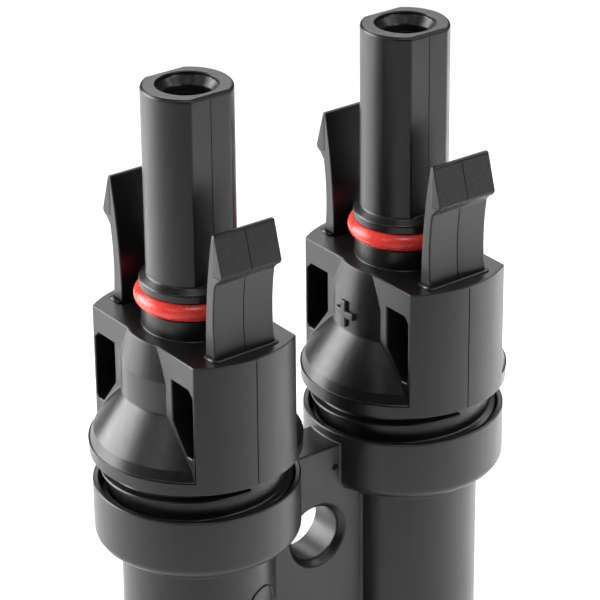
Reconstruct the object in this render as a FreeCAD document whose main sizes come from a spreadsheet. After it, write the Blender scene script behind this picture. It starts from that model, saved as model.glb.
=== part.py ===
import FreeCAD, Part
import math
import os
import types

import Sketcher

# Two-into-one branch connector for solar cables, in millimetres.
#
# Two latching socket plugs stand side by side in the collars of a forked branch body, whose two
# barrels lead down into one pin coupler. The origin is the centre of the mounting hole in the web
# between the barrels. +Z runs up the plugs, +X from the left plug to the right one, and -Y is the
# front. A piece that sits in a collar is drawn in that collar's own frame: its XY plane is the
# collar's rim, and its +Z points out of the mouth.

SIZES = {
    # branch body
    "pitch": (24.2, "distance between the two plug axes"),
    "collar_rim": (10.0, "height of the upper collars' rims"),
    "collar_height": (6.1, "rim to underside of a collar"),
    "collar_radius": (9.65, "outside of a collar"),
    "collar_round": (1.2, "rounding of a collar's inner end"),
    "collar_bore": (9.05, "radius of the socket inside a collar"),
    "socket_depth": (4.4, "depth of the socket inside a collar"),
    "step_height": (1.0, "height of the step behind a collar"),
    "step_ledge": (0.4, "how far that step stands out of the barrel"),
    "barrel_radius": (7.2, "outside of the two upper barrels"),
    "stem_radius": (7.7, "outside of the single lower barrel"),
    "spigot_bore": (5.65, "radius of the bore that takes a spigot"),
    "fork_corner": (17.0, "depth below the origin where a barrel's axis turns inwards"),
    "fork_foot": (27.5, "depth where the two inclined axes meet"),
    "fork_bend": (8.5, "bend radius of a barrel's axis"),
    "duct_bend": (5.0, "bend radius of the cable duct"),
    "duct_radius": (3.6, "radius of the cable duct inside the fork"),
    "chamber_radius": (4.8, "radius of the junction chamber"),
    "chamber_top": (22.5, "depth of the junction chamber's roof"),
    "lower_rim": (40.2, "depth of the lower collar's rim"),
    "web_half": (2.35, "half the web's thickness"),
    "web_top": (9.0, "height of the web's upper edge"),
    "hole_radius": (2.75, "mounting hole"),
    "hole_rim": (3.35, "countersunk rim of the mounting hole"),
    # plug housing, heights above the collar's rim
    "plate_top": (15.7, "upper face of the plug's plate"),
    "plate_thickness": (2.5, "plate that carries the latch arms"),
    "head_radius": (9.85, "outside of the plug's shell"),
    "head_low": (2.9, "underside of the plug's flange"),
    "flat_half": (5.6, "half the width across the shell's flats"),
    "flat_low": (4.2, "lower end of the shell's flats"),
    "window_low": (6.4, "lower end of the side windows"),
    "window_inner": (4.6, "inner edge of a side window"),
    "window_outer": (7.8, "outer edge of a side window"),
    "window_toe": (6.8, "where a window's sloping lower edge ends"),
    "window_bevel": (0.3, "cut corners of a side window"),
    "dome_top": (6.05, "dome radius at the plate"),
    "dome_radius": (6.7, "radius of the dome's upright part"),
    "dome_shoulder": (12.4, "height where the dome turns upright"),
    "dome_waist": (9.2, "height where the dome starts to flare"),
    "flare_radius": (9.4, "dome radius near the bottom of its flare"),
    "flare_low": (5.2, "height of that point"),
    "flange_top": (4.0, "upper edge of the plug's flange"),
    "neck_radius": (8.3, "root of the plug's thread"),
    "thread_crest": (8.9, "crest of the plug's thread"),
    "thread_width": (0.9, "width of the thread at its root"),
    "thread_pitch": (2.4, "rise of the thread in one turn"),
    "neck_length": (3.4, "how far the neck reaches into the collar"),
    "spigot_radius": (5.5, "spigot inside the barrel"),
    "spigot_length": (7.6, "length of the spigot below the neck"),
    "nose_radius": (4.15, "outside of the nose tube"),
    "nose_length": (23.0, "nose tube above the plate"),
    "nose_flat": (3.6, "distance of the nose's flats from its axis"),
    "foot_radius": (4.65, "collar under the O-ring"),
    "foot_height": (2.0, "height of that collar"),
    "groove_radius": (3.55, "floor of the O-ring groove"),
    "groove_height": (1.8, "width of the O-ring groove"),
    "lip_radius": (4.8, "flange above the O-ring"),
    "lip_height": (0.8, "thickness of that flange"),
    "lip_slope": (0.5, "height of the cone above that flange"),
    "ring_radius": (4.45, "centre line of the O-ring"),
    "ring_cord": (0.85, "radius of the O-ring's cord"),
    "entry_radius": (2.25, "hole in the nose tip"),
    "entry_rim": (2.8, "countersunk rim of that hole"),
    "entry_step": (0.3, "straight rim above the countersink"),
    "entry_depth": (1.1, "depth of the countersink"),
    "entry_wall": (1.9, "thickness of the nose tip"),
    "chamber_bore": (2.95, "bore around the contact"),
    "shoulder": (15.0, "height of the shoulder that stops a socket contact"),
    "clip_bore": (3.75, "bore around a contact's retaining clip"),
    "clip_low": (10.4, "lower end of that bore in a plug"),
    "rear_bore": (4.4, "bore behind the clip"),
    # latch arms, height above the collar's rim and distance from the plug's axis
    "pivot_out": (7.37, "distance of an arm's root from the axis"),
    "pivot_depth": (0.77, "depth of that root below the plate"),
    "root_radius": (0.77, "rounding of an arm's root"),
    "root_gap": (0.06, "running clearance around the root"),
    "seat_flare": (0.12, "extra width of the root's seat at the plate"),
    "arm_half": (3.25, "half an arm's width"),
    "arm_side_gap": (0.1, "clearance beside an arm"),
    "arm_height": (12.2, "arm above the plate"),
    "arm_inner": (7.9, "inner edge of an arm's tip"),
    "arm_outer": (8.35, "outer edge of an arm's tip"),
    "arm_back_bend": (62.0, "bend radius of an arm's inner face"),
    "shank_bend": (24.0, "bend radius of an arm's outer face"),
    "shank_top": (7.4, "height of the barb's underside at the shank"),
    "shank_outer": (8.3, "outer face of the shank under the barb"),
    "barb_out": (9.4, "reach of the barb"),
    "barb_low": (8.0, "height where the barb's underside turns up"),
    "barb_high": (8.6, "height where the barb's slope starts"),
    "barb_round": (0.7, "rounding of the barb's corner"),
    "barb_inset": (0.55, "how far that rounding starts inside the barb's reach"),
    # pin coupler
    "coupler_radius": (9.7, "outside of the pin coupler"),
    "coupler_length": (22.6, "lower rim to the coupler's mouth"),
    "grip_low": (4.2, "start of the grip rings"),
    "grip_pitch": (1.6, "spacing of the grip rings"),
    "grip_depth": (0.6, "depth of the grooves between the grip rings"),
    "coupler_flat": (9.1, "distance of the coupler's flats from its axis"),
    "mouth_chamfer": (0.5, "chamfer of the coupler's mouth"),
    "seal_bore": (5.4, "bore that meets the O-ring of a mating plug"),
    "seal_depth": (5.6, "depth of that bore"),
    "nose_bore": (4.4, "bore that takes a mating nose"),
    "nose_depth": (23.3, "depth of that bore from the mouth"),
    "pin_hole": (2.4, "hole that the pin passes through"),
    "pin_wall": (1.1, "wall that the pin's collar rests on"),
    "pin_clip_depth": (6.7, "end of the clip bore, behind the rim"),
    "pin_spigot_length": (6.1, "length of the coupler's spigot"),
    "latch_way": (3.6, "half the width of a latch channel"),
    "channel_inner": (6.3, "inner side of a latch channel"),
    "channel_outer": (8.5, "outer side of a latch channel"),
    "channel_depth": (13.3, "depth of a latch channel from the mouth"),
    "catch_low": (7.4, "edge that a mating barb catches, from the mouth"),
    # contacts and seals
    "contact_radius": (2.85, "outside of a socket contact"),
    "contact_gap": (0.1, "end clearance of a contact"),
    "contact_bore": (2.05, "hole that takes a mating pin"),
    "contact_bore_end": (19.8, "height where that hole ends"),
    "spring_groove": (2.45, "groove that holds the contact spring"),
    "spring_low": (25.6, "lower end of that groove"),
    "spring_high": (33.4, "upper end of that groove"),
    "spring_outer": (2.4, "outside of the contact spring"),
    "spring_inner": (2.02, "inside of the contact spring"),
    "bead_radius": (3.3, "stop collar of a contact"),
    "bead_height": (1.2, "height of that collar"),
    "tail_radius": (2.8, "contact behind its stop collar"),
    "crimp_low": (2.0, "rear end of a socket contact"),
    "crimp_bore": (1.78, "hole for the conductor"),
    "crimp_depth": (8.2, "depth of that hole"),
    "clip_outer": (3.65, "outside of a retaining clip"),
    "clip_waist": (3.1, "outside of a retaining clip at its narrow end"),
    "clip_inner": (2.87, "inside of a retaining clip"),
    "clip_length": (2.4, "length of a retaining clip"),
    "wire_radius": (1.7, "copper conductor"),
    "wire_bend": (3.0, "bend radius of the conductor"),
    "wire_split": (1.75, "distance of a conductor's end from the midline"),
    "wire_join": (23.5, "depth where the conductor turns upright again"),
    "wire_end": (28.7, "depth of the conductor's end"),
    "jacket_radius": (2.75, "outside of the insulation"),
    "jacket_high": (11.5, "upper end of the insulation"),
    "jacket_low": (12.5, "depth of the insulation's lower end"),
    "gland_inner": (2.85, "inside of a wire seal"),
    "gland_outer": (4.3, "outside of a wire seal"),
    "gland_high": (5.6, "upper end of a wire seal"),
    "gland_low": (0.6, "depth of a wire seal's lower end"),
    "gland_rib": (0.25, "depth of the waists between a wire seal's ribs"),
    "gasket_inner": (5.8, "inside of a neck seal"),
    "gasket_outer": (8.7, "outside of a neck seal"),
    "gasket_gap": (0.05, "clearance on each face of a neck seal"),
    "ferrule_radius": (4.1, "outside of the junction ferrule"),
    "ferrule_high": (25.0, "depth of the ferrule's upper face"),
    "ferrule_low": (33.0, "depth of the ferrule's lower face"),
    "pin_radius": (2.0, "contact pin"),
    "pin_root": (2.3, "root of the pin, in its hole"),
    "pin_root_rise": (0.5, "root beyond the floor of the nose bore"),
    "pin_reach": (13.3, "pin beyond the lower rim"),
    "pin_nose": (1.2, "height of the pin's tapered tip"),
    "pin_tip": (1.1, "radius of the pin's tip"),
    "pin_body_end": (6.2, "end of the pin's thick body, behind the rim"),
    "pin_tail_end": (10.6, "end of the pin's tail, behind the rim"),
}


class Length:
    """A length: its present value, and the expression that ties it to the sheet."""

    def __init__(self, value, text):
        self.value = value
        self.text = text

    def __add__(self, other):
        other = as_length(other)
        return Length(self.value + other.value, f"({self.text} + {other.text})")

    def __sub__(self, other):
        other = as_length(other)
        return Length(self.value - other.value, f"({self.text} - {other.text})")

    def __mul__(self, factor):
        return Length(self.value * factor, f"({self.text} * {factor})")

    def __truediv__(self, factor):
        return Length(self.value / factor, f"({self.text} / {factor})")

    def __neg__(self):
        return Length(-self.value, f"(-{self.text})")


def as_length(number):
    return number if isinstance(number, Length) else Length(number, repr(number))


doc = FreeCAD.newDocument("branch_connector")
sheet = doc.addObject("Spreadsheet::Sheet", "sizes")
for row, (name, (value, note)) in enumerate(SIZES.items(), start=1):
    sheet.set(f"A{row}", note)
    sheet.set(f"B{row}", str(value))
    sheet.setAlias(f"B{row}", name)
doc.recompute()

d = types.SimpleNamespace(**{name: Length(value, "sizes." + name) for name, (value, _) in SIZES.items()})
AXIS = 0
SIDE_LENGTH = 30.0


# --- drawing helpers -------------------------------------------------------------------------

def new_body(name):
    body = doc.addObject("PartDesign::Body", name)
    body.Label = name
    return body


def new_sketch(body, name, role):
    """A sketch on one of the body's own origin planes: XY, XZ or YZ."""
    sketch = body.newObject("Sketcher::SketchObject", name)
    plane = next(item for item in body.Origin.OriginFeatures if item.Role == role + "_Plane")
    sketch.AttachmentSupport = [(plane, "")]
    sketch.MapMode = "FlatFace"
    return sketch


def fix(sketch, kind, *where, length):
    """Adds a dimension and ties it to its expression."""
    number = sketch.addConstraint(Sketcher.Constraint(kind, *where, length.value))
    sketch.setExpression(f"Constraints[{number}]", length.text)


def fix_point(sketch, geometry, end, across, up):
    """Holds one end of an edge at a place measured from the sketch's origin."""
    for kind, length, own_axis in (("DistanceX", across, -2), ("DistanceY", up, -1)):
        length = as_length(length)
        if length.value == 0:
            sketch.addConstraint(Sketcher.Constraint("PointOnObject", geometry, end, own_axis))
        else:
            fix(sketch, kind, -1, 1, geometry, end, length=length)


def arc_between(start, finish, radius):
    """The shorter arc from start to finish. A positive radius turns left on the way."""
    chord = finish - start
    reach = math.sqrt(max(radius ** 2 - chord.Length ** 2 / 4, 0))
    left = FreeCAD.Vector(-chord.y, chord.x, 0).normalize()
    centre = (start + finish) * 0.5 + left * math.copysign(reach, radius)
    ends = (start, finish) if radius > 0 else (finish, start)
    angles = [math.atan2(p.y - centre.y, p.x - centre.x) for p in ends]
    if angles[1] < angles[0]:
        angles[1] += 2 * math.pi
    circle = Part.Circle(centre, FreeCAD.Vector(0, 0, 1), abs(radius))
    return Part.ArcOfCircle(circle, *angles)


def outline(sketch, corners):
    """Draws a closed outline. A corner is (across, up), or (across, up, radius) for an arc to it."""
    places = [FreeCAD.Vector(as_length(c[0]).value, as_length(c[1]).value, 0) for c in corners]
    edges = []
    for index, corner in enumerate(corners):
        start, finish = places[index - 1], places[index]
        if len(corner) == 2:
            geometry = sketch.addGeometry(Part.LineSegment(start, finish), False)
            edges.append((geometry, 1, 2))
            continue
        radius = corner[2]
        geometry = sketch.addGeometry(arc_between(start, finish, radius.value), False)
        edges.append((geometry, 1, 2) if radius.value > 0 else (geometry, 2, 1))
        fix(sketch, "Radius", geometry, length=radius if radius.value > 0 else -radius)
    for index, (geometry, first, last) in enumerate(edges):
        before, _, end_before = edges[index - 1]
        sketch.addConstraint(Sketcher.Constraint("Coincident", before, end_before, geometry, first))
        fix_point(sketch, geometry, last, corners[index][0], corners[index][1])


def mirrored(corners):
    """The same outline on the other side of the vertical axis."""
    flipped = [(-c[0] if c[0] != AXIS else AXIS, *c[1:]) for c in corners]
    order = flipped[::-1]
    if all(len(c) == 2 for c in corners):
        return order
    raise ValueError("only straight outlines are mirrored")


def turned(body, name, corners, kind="PartDesign::Revolution"):
    """Turns an outline (radius, height) about the body's own Z axis."""
    sketch = new_sketch(body, name + "_outline", "XZ")
    outline(sketch, corners)
    feature = body.newObject(kind, name)
    feature.Profile = sketch
    feature.ReferenceAxis = (sketch, ["V_Axis"])
    feature.Angle = 360
    doc.recompute()
    return feature


def bored(body, name, corners):
    """Cuts a turned hollow and makes sure that it removed something."""
    return checked_cut(body, lambda: turned(body, name, corners, "PartDesign::Groove"))


def checked_cut(body, cut):
    before = body.Shape.Volume
    feature = cut()
    doc.recompute()
    if not body.Shape.Volume < before - 1e-6:
        raise RuntimeError(f"{feature.Name} cut nothing")
    return feature


def slotted(body, name, role, outlines, width=None):
    """Cuts outlines right through, or as a slot centred on the sketch's plane."""
    def cut():
        sketch = new_sketch(body, name + "_outline", role)
        for corners in outlines:
            outline(sketch, corners)
        pocket = body.newObject("PartDesign::Pocket", name)
        pocket.Profile = sketch
        pocket.SideType = "Symmetric"
        if width is None:
            pocket.Length = SIDE_LENGTH * 2
        else:
            pocket.setExpression("Length", width.text)
        return pocket
    return checked_cut(body, cut)


def place(item, along=None, up=None, turn=None):
    """Puts an object at its place in the assembly, tied to the sheet."""
    if turn is not None:
        item.Placement = FreeCAD.Placement(FreeCAD.Vector(), turn)
    if along is not None:
        item.setExpression("Placement.Base.x", along.text)
    if up is not None:
        item.setExpression("Placement.Base.z", up.text)


UPSIDE_DOWN = FreeCAD.Rotation(FreeCAD.Vector(1, 0, 0), 180)
HALF_TURN = FreeCAD.Rotation(FreeCAD.Vector(0, 0, 1), 180)

SIDES = (("left", -(d.pitch / 2)), ("right", d.pitch / 2))


# --- pieces drawn in a collar's frame ----------------------------------------------------------

plate_low = d.plate_top - d.plate_thickness
nose_tip = d.plate_top + d.nose_length
neck_low = -d.neck_length
spigot_low = neck_low - d.spigot_length
groove_low = d.plate_top + d.foot_height
groove_high = groove_low + d.groove_height
lip_high = groove_high + d.lip_height
slope_high = lip_high + d.lip_slope
pivot_high = d.plate_top - d.pivot_depth


def plug_housing(name):
    """Shell with flats and windows, domed core, nose, threaded neck and spigot."""
    body = new_body(name)
    turned(body, "shell", [(AXIS, d.head_low), (d.head_radius, d.head_low),
                           (d.head_radius, d.plate_top), (AXIS, d.plate_top)])
    flat = [(d.flat_half, d.flat_low), (d.head_radius + 1, d.flat_low),
            (d.head_radius + 1, d.plate_top + 1), (d.flat_half, d.plate_top + 1)]
    slotted(body, "flats", "XZ", [flat, mirrored(flat)])
    turned(body, "core", [
        (AXIS, spigot_low), (d.spigot_radius, spigot_low), (d.spigot_radius, neck_low),
        (d.neck_radius, neck_low), (d.neck_radius, d.head_low), (d.head_radius, d.head_low),
        (d.head_radius, d.flange_top), (d.flare_radius, d.flare_low),
        (d.dome_radius, d.dome_waist), (d.dome_radius, d.dome_shoulder),
        (d.dome_top, d.plate_top), (d.foot_radius, d.plate_top), (d.foot_radius, groove_low),
        (d.groove_radius, groove_low), (d.groove_radius, groove_high),
        (d.lip_radius, groove_high), (d.lip_radius, lip_high), (d.nose_radius, slope_high),
        (d.nose_radius, nose_tip), (AXIS, nose_tip)])
    bevel = d.window_bevel
    window = [(d.window_inner, plate_low), (d.window_inner, d.dome_waist),
              (d.window_toe, d.window_low), (d.window_outer - bevel, d.window_low),
              (d.window_outer, d.window_low + bevel), (d.window_outer, plate_low - bevel * 2),
              (d.window_outer - bevel * 2, plate_low)]
    slotted(body, "windows", "YZ", [window, mirrored(window)])
    nose_side = [(d.nose_flat, slope_high), (d.nose_radius + 1, slope_high),
                 (d.nose_radius + 1, nose_tip + 1), (d.nose_flat, nose_tip + 1)]
    slotted(body, "nose_flats", "YZ", [nose_side, mirrored(nose_side)], (d.nose_radius + 1) * 2)
    bored(body, "bores", [
        (AXIS, spigot_low - 1), (d.rear_bore, spigot_low - 1), (d.rear_bore, d.clip_low),
        (d.clip_bore, d.clip_low), (d.clip_bore, d.shoulder), (d.chamber_bore, d.shoulder),
        (d.chamber_bore, nose_tip - d.entry_wall), (d.entry_radius, nose_tip - d.entry_wall),
        (d.entry_radius, nose_tip - d.entry_depth), (d.entry_rim, nose_tip - d.entry_step),
        (d.entry_rim, nose_tip + 1), (AXIS, nose_tip + 1)])
    seat = d.root_radius + d.root_gap
    seat_mouth = seat + d.seat_flare
    for side in (1, -1):
        centre = d.pivot_out * side
        slotted(body, "front_seat" if side < 0 else "back_seat", "YZ", [[
            (centre + seat_mouth, d.plate_top), (centre + seat_mouth, d.plate_top + 1),
            (centre - seat_mouth, d.plate_top + 1), (centre - seat_mouth, d.plate_top),
            (centre - seat, pivot_high), (centre, pivot_high - seat, seat),
            (centre + seat, pivot_high, seat)]], (d.arm_half + d.arm_side_gap) * 2)
    threaded(body)
    return body


def threaded(body):
    """Winds the coarse thread onto the neck, clear of the neck's two ends."""
    sketch = new_sketch(body, "thread_section", "XZ")
    root = d.neck_radius - 0.3
    low = neck_low + d.thread_width * 0.7
    outline(sketch, [(root, low), (d.thread_crest, low + d.thread_width * 0.3),
                     (d.thread_crest, low + d.thread_width * 0.6), (root, low + d.thread_width)])
    helix = body.newObject("PartDesign::AdditiveHelix", "thread")
    helix.Profile = sketch
    helix.ReferenceAxis = (sketch, ["V_Axis"])
    helix.Mode = "pitch-turns-angle"
    helix.setExpression("Pitch", d.thread_pitch.text)
    helix.Turns = 1.75
    doc.recompute()


def latch_arm(name):
    """Springy arm on the +Y side: rounded root, hollow shank, outward barb and thin tip."""
    body = new_body(name)
    sketch = new_sketch(body, "side_view", "YZ")
    tip = d.plate_top + d.arm_height
    outline(sketch, [
        (d.pivot_out - d.root_radius, pivot_high),
        (d.pivot_out, pivot_high - d.root_radius, d.root_radius),
        (d.pivot_out + d.root_radius, pivot_high, d.root_radius),
        (d.pivot_out + d.root_radius, d.plate_top),
        (d.shank_outer, d.plate_top + d.shank_top, -d.shank_bend),
        (d.barb_out - d.barb_inset, d.plate_top + d.barb_low),
        (d.barb_out, d.plate_top + d.barb_high, d.barb_round),
        (d.arm_outer, tip),
        (d.arm_inner, tip),
        (d.pivot_out - d.root_radius, pivot_high, d.arm_back_bend)][1:])
    pad = body.newObject("PartDesign::Pad", "width")
    pad.Profile = sketch
    pad.SideType = "Symmetric"
    pad.setExpression("Length", (d.arm_half * 2).text)
    doc.recompute()
    return body


def round_ring(name):
    """O-ring in the groove of the nose."""
    body = new_body(name)
    sketch = new_sketch(body, "cord_section", "XZ")
    height = (groove_low + groove_high) / 2
    centre = FreeCAD.Vector(d.ring_radius.value, height.value, 0)
    sketch.addGeometry(Part.Circle(centre, FreeCAD.Vector(0, 0, 1), d.ring_cord.value), False)
    fix_point(sketch, 0, 3, d.ring_radius, height)
    fix(sketch, "Radius", 0, length=d.ring_cord)
    ring = body.newObject("PartDesign::Revolution", "ring")
    ring.Profile = sketch
    ring.ReferenceAxis = (sketch, ["V_Axis"])
    ring.Angle = 360
    doc.recompute()
    return body


def neck_seal(name):
    """Flat gasket between a neck and the floor of its collar."""
    body = new_body(name)
    low = -d.socket_depth + d.gasket_gap
    high = neck_low - d.gasket_gap
    turned(body, "gasket", [(d.gasket_inner, low), (d.gasket_outer, low),
                            (d.gasket_outer, high), (d.gasket_inner, high)])
    return body


def socket_contact(name):
    """Turned tube: front hole with a spring groove, stop collar, and a crimp barrel behind."""
    body = new_body(name)
    front = nose_tip - d.entry_wall - d.contact_gap
    stop = d.shoulder - d.contact_gap
    turned(body, "outside", [
        (AXIS, d.crimp_low), (d.tail_radius, d.crimp_low), (d.tail_radius, stop - d.bead_height),
        (d.bead_radius, stop - d.bead_height), (d.bead_radius, stop), (d.contact_radius, stop),
        (d.contact_radius, front), (AXIS, front)])
    bored(body, "pin_hole", [
        (AXIS, d.contact_bore_end), (d.contact_bore, d.contact_bore_end),
        (d.contact_bore, d.spring_low), (d.spring_groove, d.spring_low),
        (d.spring_groove, d.spring_high), (d.contact_bore, d.spring_high),
        (d.contact_bore, front + 1), (AXIS, front + 1)])
    bored(body, "crimp_hole", [
        (AXIS, d.crimp_low - 1), (d.crimp_bore, d.crimp_low - 1),
        (d.crimp_bore, d.crimp_low + d.crimp_depth), (AXIS, d.crimp_low + d.crimp_depth)])
    return body


def contact_spring(name):
    """Waisted spring cage that grips the mating pin."""
    body = new_body(name)
    low, high = d.spring_low + d.gasket_gap, d.spring_high - d.gasket_gap
    wall = 0.12
    middle = (low + high) / 2
    turned(body, "cage", [
        (d.spring_outer - wall, low), (d.spring_outer, low), (d.spring_inner + wall, middle),
        (d.spring_outer, high), (d.spring_outer - wall, high), (d.spring_inner, middle)])
    return body


def retaining_clip(name, top):
    """Spring sleeve that keeps a contact from being pulled back out."""
    body = new_body(name)
    low = top - d.clip_length
    turned(body, "sleeve", [(d.clip_inner, low), (d.clip_outer, low),
                            (d.clip_waist, top), (d.clip_inner, top)])
    return body


mouth = d.coupler_length
pin_floor = mouth - d.nose_depth
pin_seat = pin_floor - d.pin_wall


def pin_housing(name):
    """Coupler that takes a mating nose and its two latch arms; same neck as a plug."""
    body = new_body(name)
    rear = neck_low - d.pin_spigot_length
    valley = d.coupler_radius - d.grip_depth
    grip = []
    for ring in range(3):
        low = d.grip_low + d.grip_pitch * ring
        grip += [(d.coupler_radius, low), (valley, low + d.grip_pitch * 0.2),
                 (valley, low + d.grip_pitch * 0.5), (d.coupler_radius, low + d.grip_pitch * 0.7)]
    turned(body, "outside", [
        (AXIS, rear), (d.spigot_radius, rear), (d.spigot_radius, neck_low),
        (d.neck_radius, neck_low), (d.neck_radius, d.head_low), (d.coupler_radius, d.head_low),
        *grip, (d.coupler_radius, mouth - d.mouth_chamfer),
        (d.coupler_radius - d.mouth_chamfer, mouth), (AXIS, mouth)])
    flat_low = d.grip_low + d.grip_pitch * 3
    flat = [(d.coupler_flat, flat_low), (d.coupler_radius + 1, flat_low),
            (d.coupler_radius + 1, mouth + 1), (d.coupler_flat, mouth + 1)]
    slotted(body, "flats", "XZ", [flat, mirrored(flat)])
    bored(body, "bores", [
        (AXIS, rear - 1), (d.rear_bore, rear - 1), (d.rear_bore, -d.pin_clip_depth),
        (d.clip_bore, -d.pin_clip_depth), (d.clip_bore, pin_seat), (d.pin_hole, pin_seat),
        (d.pin_hole, pin_floor), (d.nose_bore, pin_floor), (d.nose_bore, mouth - d.seal_depth),
        (d.seal_bore, mouth - d.seal_depth), (d.seal_bore, mouth - d.mouth_chamfer),
        (d.seal_bore + d.mouth_chamfer, mouth), (d.seal_bore + d.mouth_chamfer, mouth + 1),
        (AXIS, mouth + 1)])
    inner_end = mouth - d.channel_depth
    channel = [(d.channel_inner, inner_end), (d.channel_outer, inner_end),
               (d.channel_outer, mouth + 1), (d.channel_inner, mouth + 1)]
    slotted(body, "latch_channels", "YZ", [channel, mirrored(channel)], d.latch_way * 2)
    catch = mouth - d.catch_low
    window = [(d.channel_outer - 1, inner_end), (d.coupler_radius + 1, inner_end),
              (d.coupler_radius + 1, catch), (d.channel_outer - 1, catch)]
    slotted(body, "latch_windows", "YZ", [window, mirrored(window)], d.latch_way * 2)
    threaded(body)
    return body


def pin_contact(name):
    """Turned pin with a tapered tip, a stop collar and a tail for the junction ferrule."""
    body = new_body(name)
    stop = pin_seat - d.contact_gap
    turned(body, "outside", [
        (AXIS, -d.pin_tail_end), (d.wire_radius, -d.pin_tail_end),
        (d.wire_radius, -d.pin_body_end), (d.tail_radius, -d.pin_body_end),
        (d.tail_radius, stop - d.bead_height), (d.bead_radius, stop - d.bead_height),
        (d.bead_radius, stop), (d.pin_root, stop), (d.pin_root, pin_floor + d.pin_root_rise),
        (d.pin_radius, pin_floor + d.pin_root_rise), (d.pin_radius, d.pin_reach - d.pin_nose),
        (d.pin_tip, d.pin_reach), (AXIS, d.pin_reach)])
    return body


# --- pieces drawn in the assembly's frame ---------------------------------------------------------

def pipe(name, points, bend, radius):
    """A round bar along straight runs in the XZ plane that are joined by tangent arcs."""
    body = new_body(name)
    path = new_sketch(body, "path", "XZ")
    places = [FreeCAD.Vector(as_length(p[0]).value, as_length(p[1]).value, 0) for p in points]
    starts, ends, arcs = [places[0]], [], []
    for before, corner, after in zip(places, places[1:], places[2:]):
        inward, outward = (corner - before).normalize(), (after - corner).normalize()
        turn = inward.getAngle(outward)
        reach = bend.value * math.tan(turn / 2)
        ends.append(corner - inward * reach)
        starts.append(corner + outward * reach)
        left = inward.x * outward.y - inward.y * outward.x
        arcs.append((ends[-1], starts[-1], math.copysign(bend.value, left)))
    ends.append(places[-1])
    lines = [path.addGeometry(Part.LineSegment(a, b), False) for a, b in zip(starts, ends)]
    for index, (start, finish, radius_of_arc) in enumerate(arcs):
        arc = path.addGeometry(arc_between(start, finish, radius_of_arc), False)
        first, last = (1, 2) if radius_of_arc > 0 else (2, 1)
        path.addConstraint(Sketcher.Constraint("Tangent", lines[index], 2, arc, first))
        path.addConstraint(Sketcher.Constraint("Tangent", arc, last, lines[index + 1], 1))
        fix(path, "Radius", arc, length=bend)
        corner = path.addGeometry(Part.Point(places[index + 1]), True)
        path.addConstraint(Sketcher.Constraint("PointOnObject", corner, 1, lines[index]))
        path.addConstraint(Sketcher.Constraint("PointOnObject", corner, 1, lines[index + 1]))
        fix_point(path, corner, 1, *points[index + 1])
    fix_point(path, lines[0], 1, *points[0])
    fix_point(path, lines[-1], 2, *points[-1])
    section = new_sketch(body, "section", "XY")
    section.setExpression("AttachmentOffset.Base.z", as_length(points[0][1]).text)
    centre = FreeCAD.Vector(places[0].x, 0, 0)
    section.addGeometry(Part.Circle(centre, FreeCAD.Vector(0, 0, 1), radius.value), False)
    fix_point(section, 0, 3, points[0][0], AXIS)
    fix(section, "Radius", 0, length=radius)
    sweep = body.newObject("PartDesign::AdditivePipe", "bar")
    sweep.Profile = section
    sweep.Spine = (path, [f"Edge{n + 1}" for n in range(len(lines) + len(arcs))])
    sweep.Transition = "Transformed"
    doc.recompute()
    return body


def bar(name, radius, low, high, along=None):
    """An upright round bar between two heights."""
    body = new_body(name)
    turned(body, "round", [(AXIS, low), (radius, low), (radius, high), (AXIS, high)])
    if along is not None:
        place(body, along=along)
    return body


def collar(name, along, up, turn=None):
    """Ring around a socket with a rounded inner end and a low step behind it."""
    body = new_body(name)
    low = -d.collar_height
    step = d.barrel_radius + d.step_ledge
    turned(body, "ring", [
        (AXIS, low - d.step_height), (step, low - d.step_height), (step, low),
        (d.collar_radius - d.collar_round, low),
        (d.collar_radius, low + d.collar_round, d.collar_round),
        (d.collar_radius, AXIS), (AXIS, AXIS)])
    place(body, along=along, up=up, turn=turn)
    return body


def joined(name, kind, pieces):
    item = doc.addObject(kind, name)
    item.Shapes = pieces
    return item


def web_plate():
    """Flat web between the barrels, pointed like the fork below and without its hole."""
    body = new_body("web_plate")
    sketch = new_sketch(body, "front_view", "XZ")
    reach = d.pitch / 2
    outline(sketch, [(reach, d.web_top), (-reach, d.web_top), (-reach, -d.fork_corner),
                     (AXIS, -d.fork_foot), (reach, -d.fork_corner)])
    pad = body.newObject("PartDesign::Pad", "thickness")
    pad.Profile = sketch
    pad.SideType = "Symmetric"
    pad.setExpression("Length", (d.web_half * 2).text)
    doc.recompute()
    return body


def stem(name):
    """Single lower barrel with a round top that runs into the fork."""
    body = new_body(name)
    turned(body, "round", [
        (AXIS, -d.lower_rim + d.collar_height), (d.stem_radius, -d.lower_rim + d.collar_height),
        (d.stem_radius, -d.fork_foot), (AXIS, -d.fork_foot + d.stem_radius, d.stem_radius)])
    return body


def mounting_hole():
    """Straight hole along Y with a countersunk rim on both faces."""
    body = new_body("mounting_hole")
    flare = d.hole_rim - d.hole_radius
    half = d.web_half
    turned(body, "tool", [
        (AXIS, -half - 1), (d.hole_rim, -half - 1), (d.hole_rim, -half),
        (d.hole_radius, -half + flare), (d.hole_radius, half - flare), (d.hole_rim, half),
        (d.hole_rim, half + 1), (AXIS, half + 1)])
    place(body, turn=FreeCAD.Rotation(FreeCAD.Vector(1, 0, 0), 90))
    return body


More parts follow.
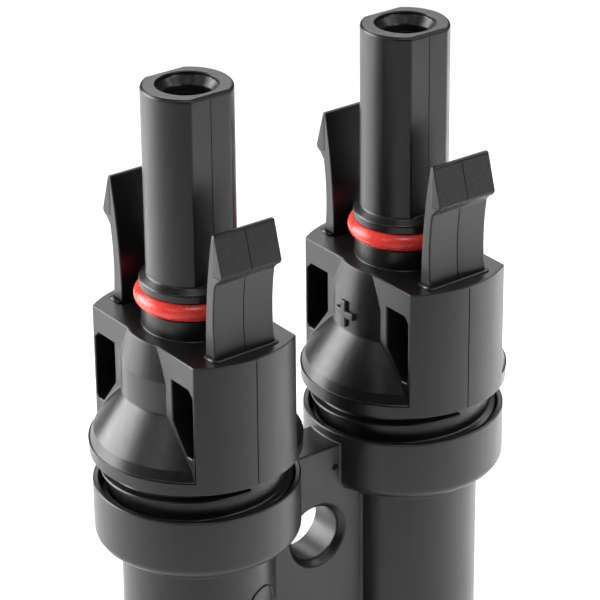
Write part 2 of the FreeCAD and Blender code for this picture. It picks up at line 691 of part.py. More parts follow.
def branch_body(name):
    """Two collars and barrels, the fork, one stem and its collar, and the web."""
    rim = d.collar_rim
    solids = [web_plate(), collar("stem_collar", None, -d.lower_rim, UPSIDE_DOWN),
              stem("stem")]
    hollows = [mounting_hole(),
               bar("stem_socket", d.collar_bore, -d.lower_rim - 1, -d.lower_rim + d.socket_depth),
               bar("stem_bore", d.spigot_bore, -d.lower_rim + 1, -d.lower_rim + 10.0),
               bar("junction_chamber", d.chamber_radius, -d.lower_rim + 9.0, -d.chamber_top)]
    for side, along in SIDES:
        solids.append(collar(side + "_collar", along, rim))
        solids.append(pipe(side + "_barrel", [
            (along, rim - d.collar_height), (along, -d.fork_corner), (AXIS, -d.fork_foot)],
            d.fork_bend, d.barrel_radius))
        hollows.append(bar(side + "_socket", d.collar_bore, rim - d.socket_depth, rim + 1, along))
        hollows.append(bar(side + "_bore", d.spigot_bore,
                           rim - d.socket_depth - d.spigot_length - 0.4, rim - 1, along))
        hollows.append(pipe(side + "_duct", [
            (along, rim - d.socket_depth - d.spigot_length), (along, -d.fork_corner),
            (AXIS, -d.fork_foot)], d.duct_bend, d.duct_radius))
    outside = joined("body_outside", "Part::MultiFuse", solids)
    inside = joined("body_inside", "Part::MultiFuse", hollows)
    doc.recompute()
    body = doc.addObject("Part::Cut", name)
    body.Base = outside
    body.Tool = inside
    body.Label = name
    doc.recompute()
    return body


def conductor(name, along, sign):
    """Solid link from a socket contact down to the junction ferrule."""
    top = d.collar_rim + d.crimp_low + d.crimp_depth - d.contact_gap
    split = d.wire_split * sign
    return pipe(name, [(along, top), (along, -d.fork_corner), (split, -d.wire_join),
                       (split, -d.wire_end)], d.wire_bend, d.wire_radius)


def insulation(name, along):
    """Insulating tube around the straight part of a conductor."""
    body = new_body(name)
    turned(body, "tube", [(d.crimp_bore, -d.jacket_low), (d.jacket_radius, -d.jacket_low),
                          (d.jacket_radius, d.jacket_high), (d.crimp_bore, d.jacket_high)])
    place(body, along=along)
    return body


def wire_seal(name, along):
    """Ribbed rubber sleeve between the insulation and the plug's spigot."""
    body = new_body(name)
    waist = d.gland_outer - d.gland_rib
    step = (d.gland_high + d.gland_low) / 6
    corners = [(d.gland_inner, -d.gland_low), (d.gland_outer, -d.gland_low)]
    for rib in range(1, 6):
        corners.append((waist if rib % 2 else d.gland_outer, step * rib - d.gland_low))
    corners += [(d.gland_outer, d.gland_high), (d.gland_inner, d.gland_high)]
    turned(body, "sleeve", corners)
    place(body, along=along)
    return body


def junction_ferrule(name):
    """Sleeve that joins both conductors, side by side, to the tail of the pin."""
    body = new_body(name)
    turned(body, "sleeve", [
        (AXIS, -d.ferrule_low), (d.ferrule_radius, -d.ferrule_low),
        (d.ferrule_radius, -d.ferrule_high), (AXIS, -d.ferrule_high)])
    pin_end = -d.lower_rim + d.pin_tail_end
    bored(body, "pin_hole", [
        (AXIS, -d.ferrule_low - 1), (d.crimp_bore, -d.ferrule_low - 1),
        (d.crimp_bore, pin_end + d.contact_gap), (AXIS, pin_end + d.contact_gap)])

    def cut_wire_slot():
        sketch = new_sketch(body, "wire_slot_outline", "XY")
        sketch.setExpression("AttachmentOffset.Base.z", (-d.ferrule_high).text)
        far, near = d.wire_split, d.crimp_bore
        outline(sketch, [
            (-far, -near), (far, -near), (far + near, AXIS, near), (far, near, near),
            (-far, near), (-(far + near), AXIS, near), (-far, -near, near)][1:])
        slot = body.newObject("PartDesign::Pocket", "wire_slot")
        slot.Profile = sketch
        slot.setExpression("Length", (d.wire_end - d.ferrule_high + d.contact_gap).text)
        return slot
    checked_cut(body, cut_wire_slot)
    return body


# --- assembly -----------------------------------------------------------------------------------

subparts = [branch_body("branch_body")]
for side, along in SIDES:
    rim = d.collar_rim
    in_collar = [
        plug_housing(side + "_socket_housing"),
        round_ring(side + "_nose_seal"),
        neck_seal(side + "_neck_seal"),
        socket_contact(side + "_socket_contact"),
        contact_spring(side + "_contact_spring"),
        retaining_clip(side + "_contact_clip", d.shoulder - d.contact_gap * 2 - d.bead_height),
        latch_arm(side + "_back_latch"),
    ]
    for piece in in_collar:
        place(piece, along=along, up=rim)
    front = latch_arm(side + "_front_latch")
    place(front, along=along, up=rim, turn=HALF_TURN)
    sign = 1 if along.value > 0 else -1
    subparts += in_collar + [front, conductor(side + "_conductor", along, sign),
                             insulation(side + "_insulation", along),
                             wire_seal(side + "_wire_seal", along)]

pin_side = [
    pin_housing("pin_housing"),
    pin_contact("pin_contact"),
    retaining_clip("pin_contact_clip", pin_seat - d.contact_gap * 2 - d.bead_height),
    neck_seal("pin_neck_seal"),
]
for piece in pin_side:
    place(piece, up=-d.lower_rim, turn=UPSIDE_DOWN)
subparts += pin_side + [junction_ferrule("junction_ferrule")]
doc.recompute()

for item in doc.Objects:
    if "Invalid" in item.State or "Error" in item.State:
        raise RuntimeError(f"{item.Name} failed: {item.State}")
for piece in subparts:
    if piece.Shape.isNull() or not piece.Shape.isValid():
        raise RuntimeError(f"{piece.Label} has no valid shape")

os.makedirs("parts", exist_ok=True)
for piece in subparts:
    piece.Shape.exportStep(f"parts/{piece.Label}.step")
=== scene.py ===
import math

import bmesh
import bpy
from mathutils import Matrix, Vector
from mathutils.bvhtree import BVHTree


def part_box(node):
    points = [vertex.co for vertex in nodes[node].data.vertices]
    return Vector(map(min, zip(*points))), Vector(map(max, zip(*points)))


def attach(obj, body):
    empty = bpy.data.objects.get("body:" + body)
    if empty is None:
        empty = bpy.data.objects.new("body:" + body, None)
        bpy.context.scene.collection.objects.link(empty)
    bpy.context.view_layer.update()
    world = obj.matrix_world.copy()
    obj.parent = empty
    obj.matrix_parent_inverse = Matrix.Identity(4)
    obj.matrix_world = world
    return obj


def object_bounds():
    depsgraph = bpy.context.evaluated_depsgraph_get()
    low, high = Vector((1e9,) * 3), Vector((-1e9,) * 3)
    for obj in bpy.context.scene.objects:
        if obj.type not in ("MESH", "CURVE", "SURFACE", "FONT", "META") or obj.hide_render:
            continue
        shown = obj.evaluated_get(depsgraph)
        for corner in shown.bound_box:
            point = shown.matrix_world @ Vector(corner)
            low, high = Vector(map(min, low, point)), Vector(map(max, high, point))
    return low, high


MM = 0.001
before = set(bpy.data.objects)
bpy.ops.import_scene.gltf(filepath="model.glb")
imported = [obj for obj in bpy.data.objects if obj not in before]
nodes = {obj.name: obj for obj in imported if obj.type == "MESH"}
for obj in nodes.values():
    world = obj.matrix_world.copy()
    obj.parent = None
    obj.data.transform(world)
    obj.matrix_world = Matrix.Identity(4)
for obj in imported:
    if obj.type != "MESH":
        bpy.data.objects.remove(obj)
cad_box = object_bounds()


# --- where things are, read from the CAD nodes ----------------------------------------------------

def middle_of(node):
    low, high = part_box(node)
    return (low + high) / 2


left_axis = middle_of("left_nose_seal").x
right_axis = middle_of("right_nose_seal").x
plug_axes = (("left", left_axis), ("right", right_axis))
floor_height = cad_box[0].z
nose_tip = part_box("right_socket_housing")[1].z
seal_low, seal_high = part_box("left_nose_seal")
latch_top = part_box("right_front_latch")[1].z

# Sizes of the moulding that no node's box gives.
PLATE_BELOW_SEAL = 2.05 * MM
FLANGE_BELOW_PLATE = 12.6 * MM
BARREL_RADIUS = 7.2 * MM
DOME_RADIUS = 6.7 * MM
plate_height = seal_low.z - PLATE_BELOW_SEAL
flange_height = plate_height - FLANGE_BELOW_PLATE


# --- node graphs ----------------------------------------------------------------------------------

class Graph:
    """Builds a material's nodes: numbers are set on sockets, and sockets are linked."""

    def __init__(self, name):
        self.material = bpy.data.materials.new(name)
        self.material.use_nodes = True
        self.tree = self.material.node_tree
        self.tree.nodes.clear()
        self.shader = self.add("ShaderNodeBsdfPrincipled")
        output = self.add("ShaderNodeOutputMaterial")
        self.tree.links.new(self.shader.outputs[0], output.inputs["Surface"])
        self.coords = self.add("ShaderNodeTexCoord").outputs["Object"]

    def add(self, kind, inputs=None, **settings):
        node = self.tree.nodes.new(kind)
        for key, value in settings.items():
            setattr(node, key, value)
        for key, value in (inputs or {}).items():
            self.put(node.inputs[key], value)
        return node

    def put(self, socket, value):
        if isinstance(value, bpy.types.NodeSocket):
            self.tree.links.new(value, socket)
        else:
            socket.default_value = value

    def math(self, operation, first, second=0.0):
        return self.add("ShaderNodeMath", {0: first, 1: second}, operation=operation).outputs[0]

    def scaled(self, x, y, z):
        """Object coordinates in millimetres, times a factor along each axis."""
        return self.add("ShaderNodeMapping", {
            "Vector": self.coords, "Scale": (x / MM, y / MM, z / MM)}).outputs[0]

    def noise(self, vector, scale, detail=2.0, roughness=0.5):
        return self.add("ShaderNodeTexNoise", {
            "Vector": vector, "Scale": scale, "Detail": detail,
            "Roughness": roughness}).outputs["Fac"]

    def ramp(self, value, low, high, first, last):
        """value from low..high turned smoothly into first..last."""
        return self.add("ShaderNodeMapRange", {
            "Value": value, "From Min": low, "From Max": high, "To Min": first, "To Max": last},
            interpolation_type="SMOOTHSTEP").outputs[0]

    def colours(self, value, stops):
        """value turned into a colour; stops are (place, colour) pairs."""
        node = self.add("ShaderNodeValToRGB", {"Fac": value})
        ramp = node.color_ramp
        while len(ramp.elements) < len(stops):
            ramp.elements.new(0.5)
        for element, (place, colour) in zip(ramp.elements, stops):
            element.position = place
            element.color = (*colour, 1.0)
        return node.outputs["Color"]

    def axes(self):
        """Object coordinates in millimetres, one socket per axis."""
        split = self.add("ShaderNodeSeparateXYZ", {"Vector": self.scaled(1, 1, 1)})
        return split.outputs

    def relief(self, height):
        """Bump from a height in millimetres."""
        bump = self.add("ShaderNodeBump", {"Height": height, "Distance": MM, "Strength": 1.0})
        self.put(self.shader.inputs["Normal"], bump.outputs[0])


# Heights of the surface relief, in millimetres.
GRAIN_HEIGHT = 0.003
STREAK_HEIGHT = 0.0016
SPARK_HEIGHT = 0.13
RUBBER_HEIGHT = 0.006
TOOL_MARK_HEIGHT = 0.004


def moulded_plastic(name, tones, roughness, spark=None):
    """Black moulded polymer: fine grain, drawn streaks and uneven gloss.

    spark (reach, low, high) adds a coarse pitted texture farther than reach from
    the part's middle plane, between two heights, in millimetres.
    """
    graph = Graph(name)
    fine = graph.noise(graph.scaled(1, 1, 1), 5.5, 3.0, 0.6)
    broad = graph.noise(graph.scaled(1, 1, 0.6), 0.16, 2.0)
    streaks = graph.noise(graph.scaled(1, 1, 0.05), 2.2, 2.0)
    mix = graph.math("ADD", graph.math("MULTIPLY", fine, 0.45), graph.math("MULTIPLY", broad, 0.55))
    colour = graph.colours(mix, [(0.32, tones[0]), (0.68, tones[1])])
    gloss = graph.math("ADD", graph.math("MULTIPLY", broad, 0.5),
                       graph.math("MULTIPLY", streaks, 0.5))
    rough = graph.ramp(gloss, 0.3, 0.7, roughness - 0.05, roughness + 0.06)
    height = graph.math("MULTIPLY", fine, GRAIN_HEIGHT)
    height = graph.math("ADD", height, graph.math("MULTIPLY", streaks, STREAK_HEIGHT))
    if spark is not None:
        reach, low, high = spark
        _, depth, up = graph.axes()
        place = graph.ramp(graph.math("ABSOLUTE", depth), reach, reach + 0.25, 0.0, 1.0)
        place = graph.math("MULTIPLY", place, graph.ramp(up, low, low + 0.2, 0.0, 1.0))
        place = graph.math("MULTIPLY", place, graph.ramp(up, high - 0.2, high, 1.0, 0.0))
        pits = graph.noise(graph.scaled(1.0, 1.0, 2.2), 3.2, 3.0, 0.7)
        height = graph.math("ADD", height, graph.math(
            "MULTIPLY", graph.math("MULTIPLY", place, pits), SPARK_HEIGHT))
        rough = graph.math("ADD", rough, graph.math("MULTIPLY", place, 0.12))
    graph.put(graph.shader.inputs["Base Color"], colour)
    graph.put(graph.shader.inputs["Roughness"], rough)
    graph.shader.inputs["IOR"].default_value = 1.5
    graph.relief(height)
    return graph.material


def rubber(name, tones, roughness, soft=0.0):
    """Moulded elastomer with a slight bloom and orange peel."""
    graph = Graph(name)
    fine = graph.noise(graph.scaled(1, 1, 1), 3.0, 3.0)
    broad = graph.noise(graph.scaled(1, 1, 1), 0.5, 2.0)
    colour = graph.colours(broad, [(0.3, tones[0]), (0.7, tones[1])])
    graph.put(graph.shader.inputs["Base Color"], colour)
    graph.put(graph.shader.inputs["Roughness"],
              graph.ramp(fine, 0.3, 0.7, roughness - 0.05, roughness + 0.07))
    if soft:
        graph.shader.inputs["Subsurface Weight"].default_value = soft
        graph.shader.inputs["Subsurface Radius"].default_value = (0.0009, 0.0003, 0.0002)
    graph.relief(graph.math("MULTIPLY", fine, RUBBER_HEIGHT))
    return graph.material


def metal(name, tones, roughness, lay=(1, 1, 12)):
    """Turned or drawn metal with some tarnish; lay is how close its marks are along each axis."""
    graph = Graph(name)
    marks = graph.noise(graph.scaled(*lay), 1.4, 3.0, 0.6)
    stain = graph.noise(graph.scaled(1, 1, 1), 0.45, 3.0)
    graph.put(graph.shader.inputs["Base Color"],
              graph.colours(stain, [(0.35, tones[0]), (0.7, tones[1])]))
    graph.shader.inputs["Metallic"].default_value = 1.0
    graph.put(graph.shader.inputs["Roughness"],
              graph.ramp(marks, 0.3, 0.7, roughness - 0.06, roughness + 0.1))
    graph.relief(graph.math("MULTIPLY", marks, TOOL_MARK_HEIGHT))
    return graph.material


def seam_look(name):
    """Dull dark trace of the mould: parting lines and the pin mark."""
    graph = Graph(name)
    fine = graph.noise(graph.scaled(1, 1, 1), 6.0, 2.0)
    graph.put(graph.shader.inputs["Base Color"],
              graph.colours(fine, [(0.3, (0.002, 0.002, 0.002)), (0.7, (0.005, 0.005, 0.005))]))
    graph.put(graph.shader.inputs["Roughness"], graph.ramp(fine, 0.3, 0.7, 0.7, 0.9))
    graph.shader.inputs["Specular IOR Level"].default_value = 0.12
    return graph.material


BLACK = ((0.0045, 0.0045, 0.0048), (0.009, 0.009, 0.0094))
RED = ((0.80, 0.045, 0.035), (0.92, 0.070, 0.055))
SHELL_ROUGHNESS = 0.33
BODY_ROUGHNESS = 0.34
BARB_TEXTURE = (8.0, 33.9, 37.7)  # reach, low and high of the coarse texture on the barbs

looks = {
    "branch_body": moulded_plastic("body_moulding", BLACK, BODY_ROUGHNESS),
    "pin_housing": moulded_plastic("coupler_moulding", BLACK, BODY_ROUGHNESS),
    "junction_ferrule": metal("plated_copper", ((0.62, 0.60, 0.57), (0.74, 0.73, 0.70)), 0.3),
    "pin_contact": metal("plated_pin", ((0.64, 0.62, 0.59), (0.76, 0.75, 0.72)), 0.22),
    "pin_contact_clip": metal("clip_steel", ((0.42, 0.42, 0.43), (0.55, 0.55, 0.56)), 0.3),
    "pin_neck_seal": rubber("neck_gasket", ((0.012, 0.012, 0.012), (0.02, 0.02, 0.02)), 0.55),
}
for side, _ in plug_axes:
    looks[side + "_socket_housing"] = moulded_plastic(
        side + "_plug_moulding", BLACK, SHELL_ROUGHNESS)
    latch = moulded_plastic(side + "_latch_moulding", BLACK, SHELL_ROUGHNESS, BARB_TEXTURE)
    looks[side + "_front_latch"] = looks[side + "_back_latch"] = latch
    looks[side + "_nose_seal"] = rubber(side + "_red_silicone", RED, 0.27, soft=0.15)
    looks[side + "_neck_seal"] = looks["pin_neck_seal"]
    looks[side + "_wire_seal"] = looks["pin_neck_seal"]
    looks[side + "_socket_contact"] = looks["pin_contact"]
    looks[side + "_contact_spring"] = metal(
        side + "_bronze", ((0.55, 0.36, 0.18), (0.68, 0.47, 0.26)), 0.28)
    looks[side + "_contact_clip"] = looks["pin_contact_clip"]
    looks[side + "_conductor"] = metal(
        side + "_copper", ((0.66, 0.32, 0.18), (0.78, 0.42, 0.26)), 0.32, lay=(5, 5, 0.3))
    looks[side + "_insulation"] = rubber(
        side + "_jacket", ((0.014, 0.014, 0.014), (0.024, 0.024, 0.024)), 0.45)

for name, look in looks.items():
    for slot in nodes[name].material_slots:
        slot.material = look


# --- softened edges on the moulded parts ----------------------------------------------------------

# Widths of the rounded edges, and the angles in degrees above which an edge counts.
# Faces of the shells and the body go missing when these widths are made larger.
WIDEST = 0.4 * MM
TIP_WIDTH = 0.34 * MM
SHELL_WIDTH = 0.13 * MM
BODY_WIDTH = 0.18 * MM
LATCH_WIDTH = 0.15 * MM
CORNER_ANGLE = 32
CREASE_ANGLE = 20
SHELL_CREASE_ANGLE = 7.5


def edge_nodes(name, crease, width, zones=()):
    """Geometry nodes: smooth faces, creases sharper than crease, and a width for each corner.

    The width is stored as a share of WIDEST. Each zone (low, high, near, far, x,
    width) gives another width between two heights and two distances from the
    upright axis at x.
    """
    group = bpy.data.node_groups.new(name, "GeometryNodeTree")
    group.interface.new_socket("Geometry", in_out="INPUT", socket_type="NodeSocketGeometry")
    group.interface.new_socket("Geometry", in_out="OUTPUT", socket_type="NodeSocketGeometry")

    def link(a, b):
        group.links.new(a, b)

    def math_node(kind, first, second):
        node = group.nodes.new("ShaderNodeMath")
        node.operation = kind
        for socket, value in zip(node.inputs, (first, second)):
            if hasattr(value, "links"):
                link(value, socket)
            else:
                socket.default_value = value
        return node.outputs[0]

    start, end = group.nodes.new("NodeGroupInput"), group.nodes.new("NodeGroupOutput")
    faces, edges = (group.nodes.new("GeometryNodeSetShadeSmooth") for _ in range(2))
    edges.domain = "EDGE"
    edges.inputs["Shade Smooth"].default_value = False
    turn = group.nodes.new("GeometryNodeInputMeshEdgeAngle").outputs["Unsigned Angle"]
    place = group.nodes.new("ShaderNodeSeparateXYZ")
    link(group.nodes.new("GeometryNodeInputPosition").outputs[0], place.inputs[0])
    across, depth, height = place.outputs
    share = plain = width / WIDEST
    for low, high, near, far, x, zone_width in zones:
        offset = math_node("SUBTRACT", across, x)
        away = math_node("SQRT", math_node("ADD", math_node("MULTIPLY", offset, offset),
                                           math_node("MULTIPLY", depth, depth)), 0.0)
        inside = math_node("MULTIPLY", math_node("GREATER_THAN", height, low),
                           math_node("LESS_THAN", height, high))
        inside = math_node("MULTIPLY", inside, math_node("GREATER_THAN", away, near))
        inside = math_node("MULTIPLY", inside, math_node("LESS_THAN", away, far))
        share = math_node("ADD", share,
                          math_node("MULTIPLY", inside, zone_width / WIDEST - plain))
    store = group.nodes.new("GeometryNodeStoreNamedAttribute")
    store.data_type, store.domain = "FLOAT", "EDGE"
    store.inputs["Name"].default_value = "bevel_weight_edge"
    is_corner = math_node("GREATER_THAN", turn, math.radians(CORNER_ANGLE))
    link(math_node("MULTIPLY", share, is_corner), store.inputs["Value"])
    link(math_node("GREATER_THAN", turn, math.radians(crease)), edges.inputs["Selection"])
    link(start.outputs[0], faces.inputs["Geometry"])
    link(faces.outputs[0], edges.inputs["Geometry"])
    link(edges.outputs[0], store.inputs["Geometry"])
    link(store.outputs[0], end.inputs[0])
    return group


def soften(node, group):
    """Joins the facets of flat faces, then rounds the edges that the group marks."""
    obj = nodes[node]
    weld = obj.modifiers.new("weld", "WELD")
    weld.merge_threshold = 0.002 * MM
    flat = obj.modifiers.new("merge_flats", "DECIMATE")
    flat.decimate_type = "DISSOLVE"
    flat.angle_limit = math.radians(0.6)
    keep = obj.modifiers.new("creases", "NODES")
    keep.node_group = group
    edge = obj.modifiers.new("edges", "BEVEL")
    edge.width = WIDEST
    edge.segments = 3
    edge.limit_method = "WEIGHT"
    edge.harden_normals = True
    edge.use_clamp_overlap = False


for side, axis in plug_axes:
    tip = (nose_tip - 0.05 * MM, nose_tip + 1 * MM, 3.3 * MM, 4.6 * MM, axis, TIP_WIDTH)
    soften(side + "_socket_housing",
           edge_nodes(side + "_plug_edges", SHELL_CREASE_ANGLE, SHELL_WIDTH, [tip]))
body_edges = edge_nodes("body_edges", CREASE_ANGLE, BODY_WIDTH)
for node in ("branch_body", "pin_housing"):
    soften(node, body_edges)
latch_edges = edge_nodes("latch_edges", CREASE_ANGLE, LATCH_WIDTH)
for side, _ in plug_axes:
    for place in ("front", "back"):
        soften(f"{side}_{place}_latch", latch_edges)


# --- added detail ---------------------------------------------------------------------------------

def skin_of(node):
    """The node's surface, for finding points on it."""
    mesh = nodes[node].data
    return BVHTree.FromPolygons([v.co for v in mesh.vertices],
                                [p.vertices[:] for p in mesh.polygons])


def finish_piece(mesh, name, look, body, bevel=0.0):
    """Makes an object of the mesh that moves with a body, with its edges rounded by bevel."""
    data = bpy.data.meshes.new(name)
    mesh.to_mesh(data)
    mesh.free()
    for polygon in data.polygons:
        polygon.use_smooth = True
    data.materials.append(look)
    obj = bpy.data.objects.new(name, data)
    bpy.context.scene.collection.objects.link(obj)
    if bevel:
        edge = obj.modifiers.new("edges", "BEVEL")
        edge.width = bevel
        edge.segments = 3
        edge.limit_method = "ANGLE"
        edge.angle_limit = math.radians(40)
        edge.harden_normals = True
    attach(obj, body)


def swept(path, radius, closed, sides=10, up=Vector((0, 0, 1))):
    """A round bead along a line of points, which lies across the direction up."""
    mesh = bmesh.new()
    rings = []
    count = len(path)
    for i, point in enumerate(path):
        before = path[i - 1] if closed or i else path[0]
        after = path[(i + 1) % count] if closed or i < count - 1 else path[-1]
        along = (after - before).normalized()
        across = along.cross(up).normalized()
        lift = across.cross(along)
        rings.append([mesh.verts.new(
            point + (across * math.cos(turn) + lift * math.sin(turn)) * radius)
            for turn in (2 * math.pi * k / sides for k in range(sides))])
    pairs = list(zip(rings, rings[1:])) + ([(rings[-1], rings[0])] if closed else [])
    for first, second in pairs:
        for k in range(sides):
            n = (k + 1) % sides
            mesh.faces.new((first[k], first[n], second[n], second[k]))
    if not closed:
        mesh.faces.new(list(reversed(rings[0])))
        mesh.faces.new(rings[-1])
    bmesh.ops.recalc_face_normals(mesh, faces=mesh.faces)
    return mesh


def on_cylinder(axis_x, radius, turn, height):
    """A point on an upright cylinder; turn 0 is at its right and -90 degrees in front."""
    return Vector((axis_x + radius * math.cos(turn), radius * math.sin(turn), height))


def plus_mark(axis_x, radius, turn, height, reach, half_bar, inner, outer):
    """A raised plus sign that follows a round wall."""
    steps = [-reach, -half_bar, half_bar, reach]
    mesh = bmesh.new()
    cells = [(0, 1), (1, 0), (1, 1), (1, 2), (2, 1)]
    points = {}

    def vertex(i, j, depth):
        key = (i, j, depth)
        if key not in points:
            points[key] = mesh.verts.new(on_cylinder(
                axis_x, depth, turn + steps[i] / radius, height + steps[j]))
        return points[key]

    def loop(i, j):
        return [(i, j), (i + 1, j), (i + 1, j + 1), (i, j + 1)]

    filled = set(cells)
    for i, j in cells:
        corners = loop(i, j)
        mesh.faces.new([vertex(a, b, outer) for a, b in corners])
        mesh.faces.new([vertex(a, b, inner) for a, b in reversed(corners)])
        for (di, dj), (a, b) in zip(((0, -1), (1, 0), (0, 1), (-1, 0)),
                                    ((0, 1), (1, 2), (2, 3), (3, 0))):
            if (i + di, j + dj) not in filled:
                p, q = corners[a], corners[b]
                mesh.faces.new([vertex(*p, outer), vertex(*p, inner),
                                vertex(*q, inner), vertex(*q, outer)])
    bmesh.ops.recalc_face_normals(mesh, faces=mesh.faces)
    return mesh


def mould_line(name, node, body, x, side, low, high, width=0.11 * MM, proud=0.012 * MM,
               steps=24):
    """Thin parting line that follows a surface upwards, found from outside along Y."""
    skin = skin_of(node)
    mesh = bmesh.new()
    rings = []
    for k in range(steps + 1):
        z = low + (high - low) * k / steps
        hit, normal, _, _ = skin.ray_cast(Vector((x, side * 20 * MM, z)), Vector((0, -side, 0)))
        if hit is None:
            continue
        out = Vector((0, normal.y, normal.z)).normalized()
        rings.append([mesh.verts.new(hit + Vector((across, 0, 0)) + out * lift)
                      for across, lift in ((-width / 2, -0.1 * MM), (-width / 2, proud * 0.4),
                                           (0, proud), (width / 2, proud * 0.4),
                                           (width / 2, -0.1 * MM))])
    for first, second in zip(rings, rings[1:]):
        for k in range(5):
            n = (k + 1) % 5
            mesh.faces.new((first[k], first[n], second[n], second[k]))
    mesh.faces.new(list(reversed(rings[0])))
    mesh.faces.new(rings[-1])
    bmesh.ops.recalc_face_normals(mesh, faces=mesh.faces)
    finish_piece(mesh, name, seam, body)


def ejector_mark(name, centre, radius, depth):
    """Shallow round spot left by a mould pin, on a wall that faces the front."""
    mesh = bmesh.new()
    bmesh.ops.create_cone(mesh, cap_ends=True, segments=32, radius1=radius, radius2=radius * 0.8,
                          depth=depth)
    bmesh.ops.rotate(mesh, cent=(0, 0, 0), verts=mesh.verts,
                     matrix=Matrix.Rotation(math.radians(90), 3, "X"))
    bmesh.ops.translate(mesh, vec=centre, verts=mesh.verts)
    finish_piece(mesh, name, seam, "connector")


def ring_mark(axis_x, radius, turn, height, reach, thickness):
    """A raised circle that follows a round wall."""
    path = [on_cylinder(axis_x, radius, turn + reach * math.cos(t) / radius,
                        height + reach * math.sin(t))
            for t in (2 * math.pi * k / 48 for k in range(48))]
    outward = Vector((math.cos(turn), math.sin(turn), 0))
    return swept(path, thickness, True, up=outward)


# The root beads' radius, gap to the arm's sides, length of the two ends, and corner.
BEAD_RADIUS = 0.2 * MM
BEAD_CLEARANCE = 0.17 * MM
BEAD_RETURN = 1.5 * MM
BEAD_CORNER = 0.25 * MM


def arm_foot_reach():
    """How far out a root bead runs: its radius beyond an arm's outer face."""
    hit, _, _, _ = skin_of("right_front_latch").ray_cast(
        Vector((right_axis, -20 * MM, plate_height + 0.1 * MM)), Vector((0, 1, 0)))
    return abs(hit.y) + BEAD_RADIUS


def root_bead(side, place, axis, sign):
    """Rounded moulded bead on the plate, round the outer foot of a latch arm."""
    low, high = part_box(f"{side}_{place}_latch")
    half = (high.x - low.x) / 2 + BEAD_CLEARANCE
    reach = sign * foot_reach
    inner = reach - sign * BEAD_RETURN
    corner = BEAD_CORNER
    path = [Vector((axis - half, inner, plate_height)),
            Vector((axis - half, reach - sign * corner, plate_height)),
            Vector((axis - half + corner * 0.3, reach - sign * corner * 0.3, plate_height)),
            Vector((axis - half + corner, reach, plate_height)),
            Vector((axis + half - corner, reach, plate_height)),
            Vector((axis + half - corner * 0.3, reach - sign * corner * 0.3, plate_height)),
            Vector((axis + half, reach - sign * corner, plate_height)),
            Vector((axis + half, inner, plate_height))]
    finish_piece(swept(path, BEAD_RADIUS, False, sides=12), f"{side}_{place}_root_bead",
                 looks[side + "_socket_housing"], "connector")


seam = seam_look("mould_seam")
foot_reach = arm_foot_reach()

finish_piece(
    plus_mark(right_axis, DOME_RADIUS, turn=math.radians(177), height=plate_height - 4.7 * MM,
              reach=1.35 * MM, half_bar=0.36 * MM, inner=DOME_RADIUS - 0.4 * MM,
              outer=DOME_RADIUS + 0.32 * MM),
    "polarity_plus", looks["right_socket_housing"], "connector", 0.12 * MM)
finish_piece(
    ring_mark(left_axis, BARREL_RADIUS, turn=math.radians(-70.5), height=-2.0 * MM,
              reach=1.9 * MM, thickness=0.13 * MM),
    "barrel_ring_mark", looks["branch_body"], "connector")

for side, axis in plug_axes:
    for place, sign in (("front", -1), ("back", 1)):
        mould_line(f"{side}_{place}_shell_line", side + "_socket_housing", "connector",
                   axis, sign, flange_height, plate_height - 0.25 * MM)
        mould_line(f"{side}_{place}_nose_line", side + "_socket_housing", "connector",
                   axis, sign, seal_high.z + 2.2 * MM, nose_tip - 0.4 * MM,
                   width=0.07 * MM)
        mould_line(f"{side}_{place}_arm_line", f"{side}_{place}_latch", f"{side}_{place}_arm",
                   axis, sign, plate_height + 0.35 * MM, latch_top - 0.2 * MM,
                   width=0.09 * MM, steps=48)
        root_bead(side, place, axis, sign)

web_face, _, _, _ = skin_of("branch_body").ray_cast(
    Vector((2.1, -20, 6.75)) * MM, Vector((0, 1, 0)))
ejector_mark("web_ejector_mark", web_face, 0.38 * MM, 0.04 * MM)


# --- floor, light and camera ----------------------------------------------------------------------

FLOOR_HALF = 3.0
FLOOR_GAP = 0.02 * MM


def make_floor():
    mesh = bmesh.new()
    bmesh.ops.create_grid(mesh, x_segments=2, y_segments=2, size=FLOOR_HALF)
    data = bpy.data.meshes.new("floor")
    mesh.to_mesh(data)
    mesh.free()
    graph = Graph("floor_paper")
    tooth = graph.noise(graph.scaled(1, 1, 1), 0.3, 3.0)
    graph.put(graph.shader.inputs["Base Color"],
              graph.colours(tooth, [(0.3, (0.90, 0.90, 0.90)), (0.7, (0.93, 0.93, 0.93))]))
    graph.shader.inputs["Roughness"].default_value = 0.9
    data.materials.append(graph.material)
    floor = bpy.data.objects.new("floor", data)
    floor.location.z = floor_height - FLOOR_GAP
    bpy.context.scene.collection.objects.link(floor)


def softbox(name, azimuth, elevation, distance, width, height, watts, aim=(0, 0, 0.005),
            spread=180):
    """Area light; azimuth 0 is in front of the part and 90 at its right."""
    light = bpy.data.lights.new(name, "AREA")
    light.shape = "RECTANGLE"
    light.size, light.size_y = width, height
    light.energy = watts
    light.spread = math.radians(spread)
    a, e = math.radians(azimuth), math.radians(elevation)
    away = Vector((math.sin(a) * math.cos(e), -math.cos(a) * math.cos(e), math.sin(e)))
    obj = bpy.data.objects.new(name, light)
    obj.location = Vector(aim) + away * distance
    obj.rotation_mode = "QUATERNION"
    obj.rotation_quaternion = away.to_track_quat("Z", "Y")
    obj.visible_camera = False
    bpy.context.scene.collection.objects.link(obj)


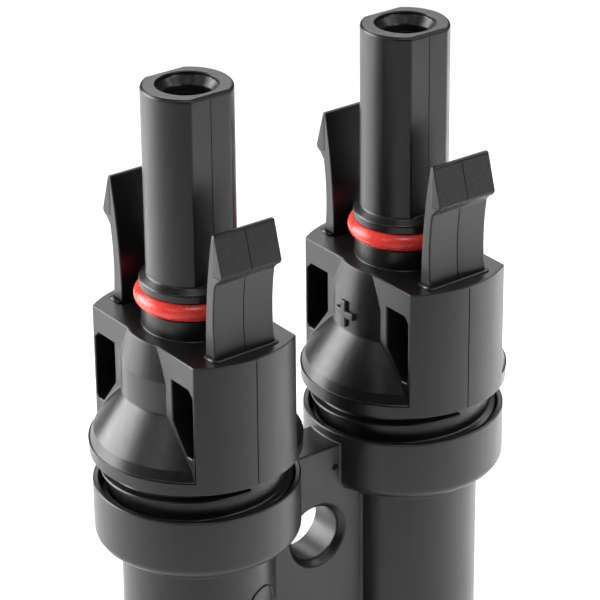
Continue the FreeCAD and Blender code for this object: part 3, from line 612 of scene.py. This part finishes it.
def make_light():
    world = bpy.data.worlds.new("studio")
    world.use_nodes = True
    background = world.node_tree.nodes["Background"]
    background.inputs["Color"].default_value = (1.0, 1.0, 1.0, 1.0)
    background.inputs["Strength"].default_value = 0.01
    bpy.context.scene.world = world
    # The first six light the part; the last three are aimed at the paper round it.
    softbox("left_back", -140, 14, 0.45, 0.34, 0.30, 3.3)
    softbox("behind", 144, 34, 0.7, 0.5, 0.3, 1.1)
    softbox("front", 10, 30, 0.7, 0.3, 0.3, 1.2)
    softbox("edge", 180, 45, 0.6, 0.6, 0.06, 0.8)
    softbox("left", -80, 35, 0.6, 0.2, 0.2, 0.3)
    softbox("over", -36, 66, 0.6, 0.14, 0.14, 0.6)
    softbox("left_floor", -150, 60, 0.40, 0.2, 0.2, 0.3, aim=(-0.14, 0.22, -0.06), spread=60)
    softbox("right_floor", 90, 60, 0.40, 0.2, 0.2, 0.7, aim=(0.26, 0.0, -0.06), spread=60)
    softbox("near_floor", 50, 60, 0.40, 0.2, 0.2, 0.4, aim=(0.18, -0.16, -0.06), spread=60)


# Camera: aim, distance, lens and sensor in millimetres; turns in degrees.
CAMERA_AIM = Vector((-0.10, 0.0, 24.1))
CAMERA_DISTANCE = 292.1
CAMERA_TURNS = (-36.23, 25.94, -0.56)
CAMERA_LENS = 189.34
CAMERA_SENSOR = 36.0


def make_camera():
    """Looks at CAMERA_AIM; the turns are azimuth, elevation and roll."""
    azimuth, elevation, roll = (math.radians(t) for t in CAMERA_TURNS)
    back = Vector((math.sin(azimuth) * math.cos(elevation),
                   -math.cos(azimuth) * math.cos(elevation), math.sin(elevation)))
    level = Vector((math.cos(azimuth), math.sin(azimuth), 0))
    upright = back.cross(level)
    right = level * math.cos(roll) + upright * math.sin(roll)
    up = upright * math.cos(roll) - level * math.sin(roll)
    data = bpy.data.cameras.new("camera")
    data.sensor_width = CAMERA_SENSOR
    data.lens = CAMERA_LENS
    data.clip_start, data.clip_end = 0.01, 20.0
    camera = bpy.data.objects.new("camera", data)
    turn = Matrix((right, up, back)).transposed()
    place = CAMERA_AIM * MM + back * CAMERA_DISTANCE * MM
    camera.matrix_world = Matrix.Translation(place) @ turn.to_4x4()
    bpy.context.scene.collection.objects.link(camera)
    bpy.context.scene.camera = camera


make_floor()
make_light()
make_camera()
bpy.context.scene.view_settings.view_transform = "Standard"
bpy.context.scene.view_settings.look = "None"
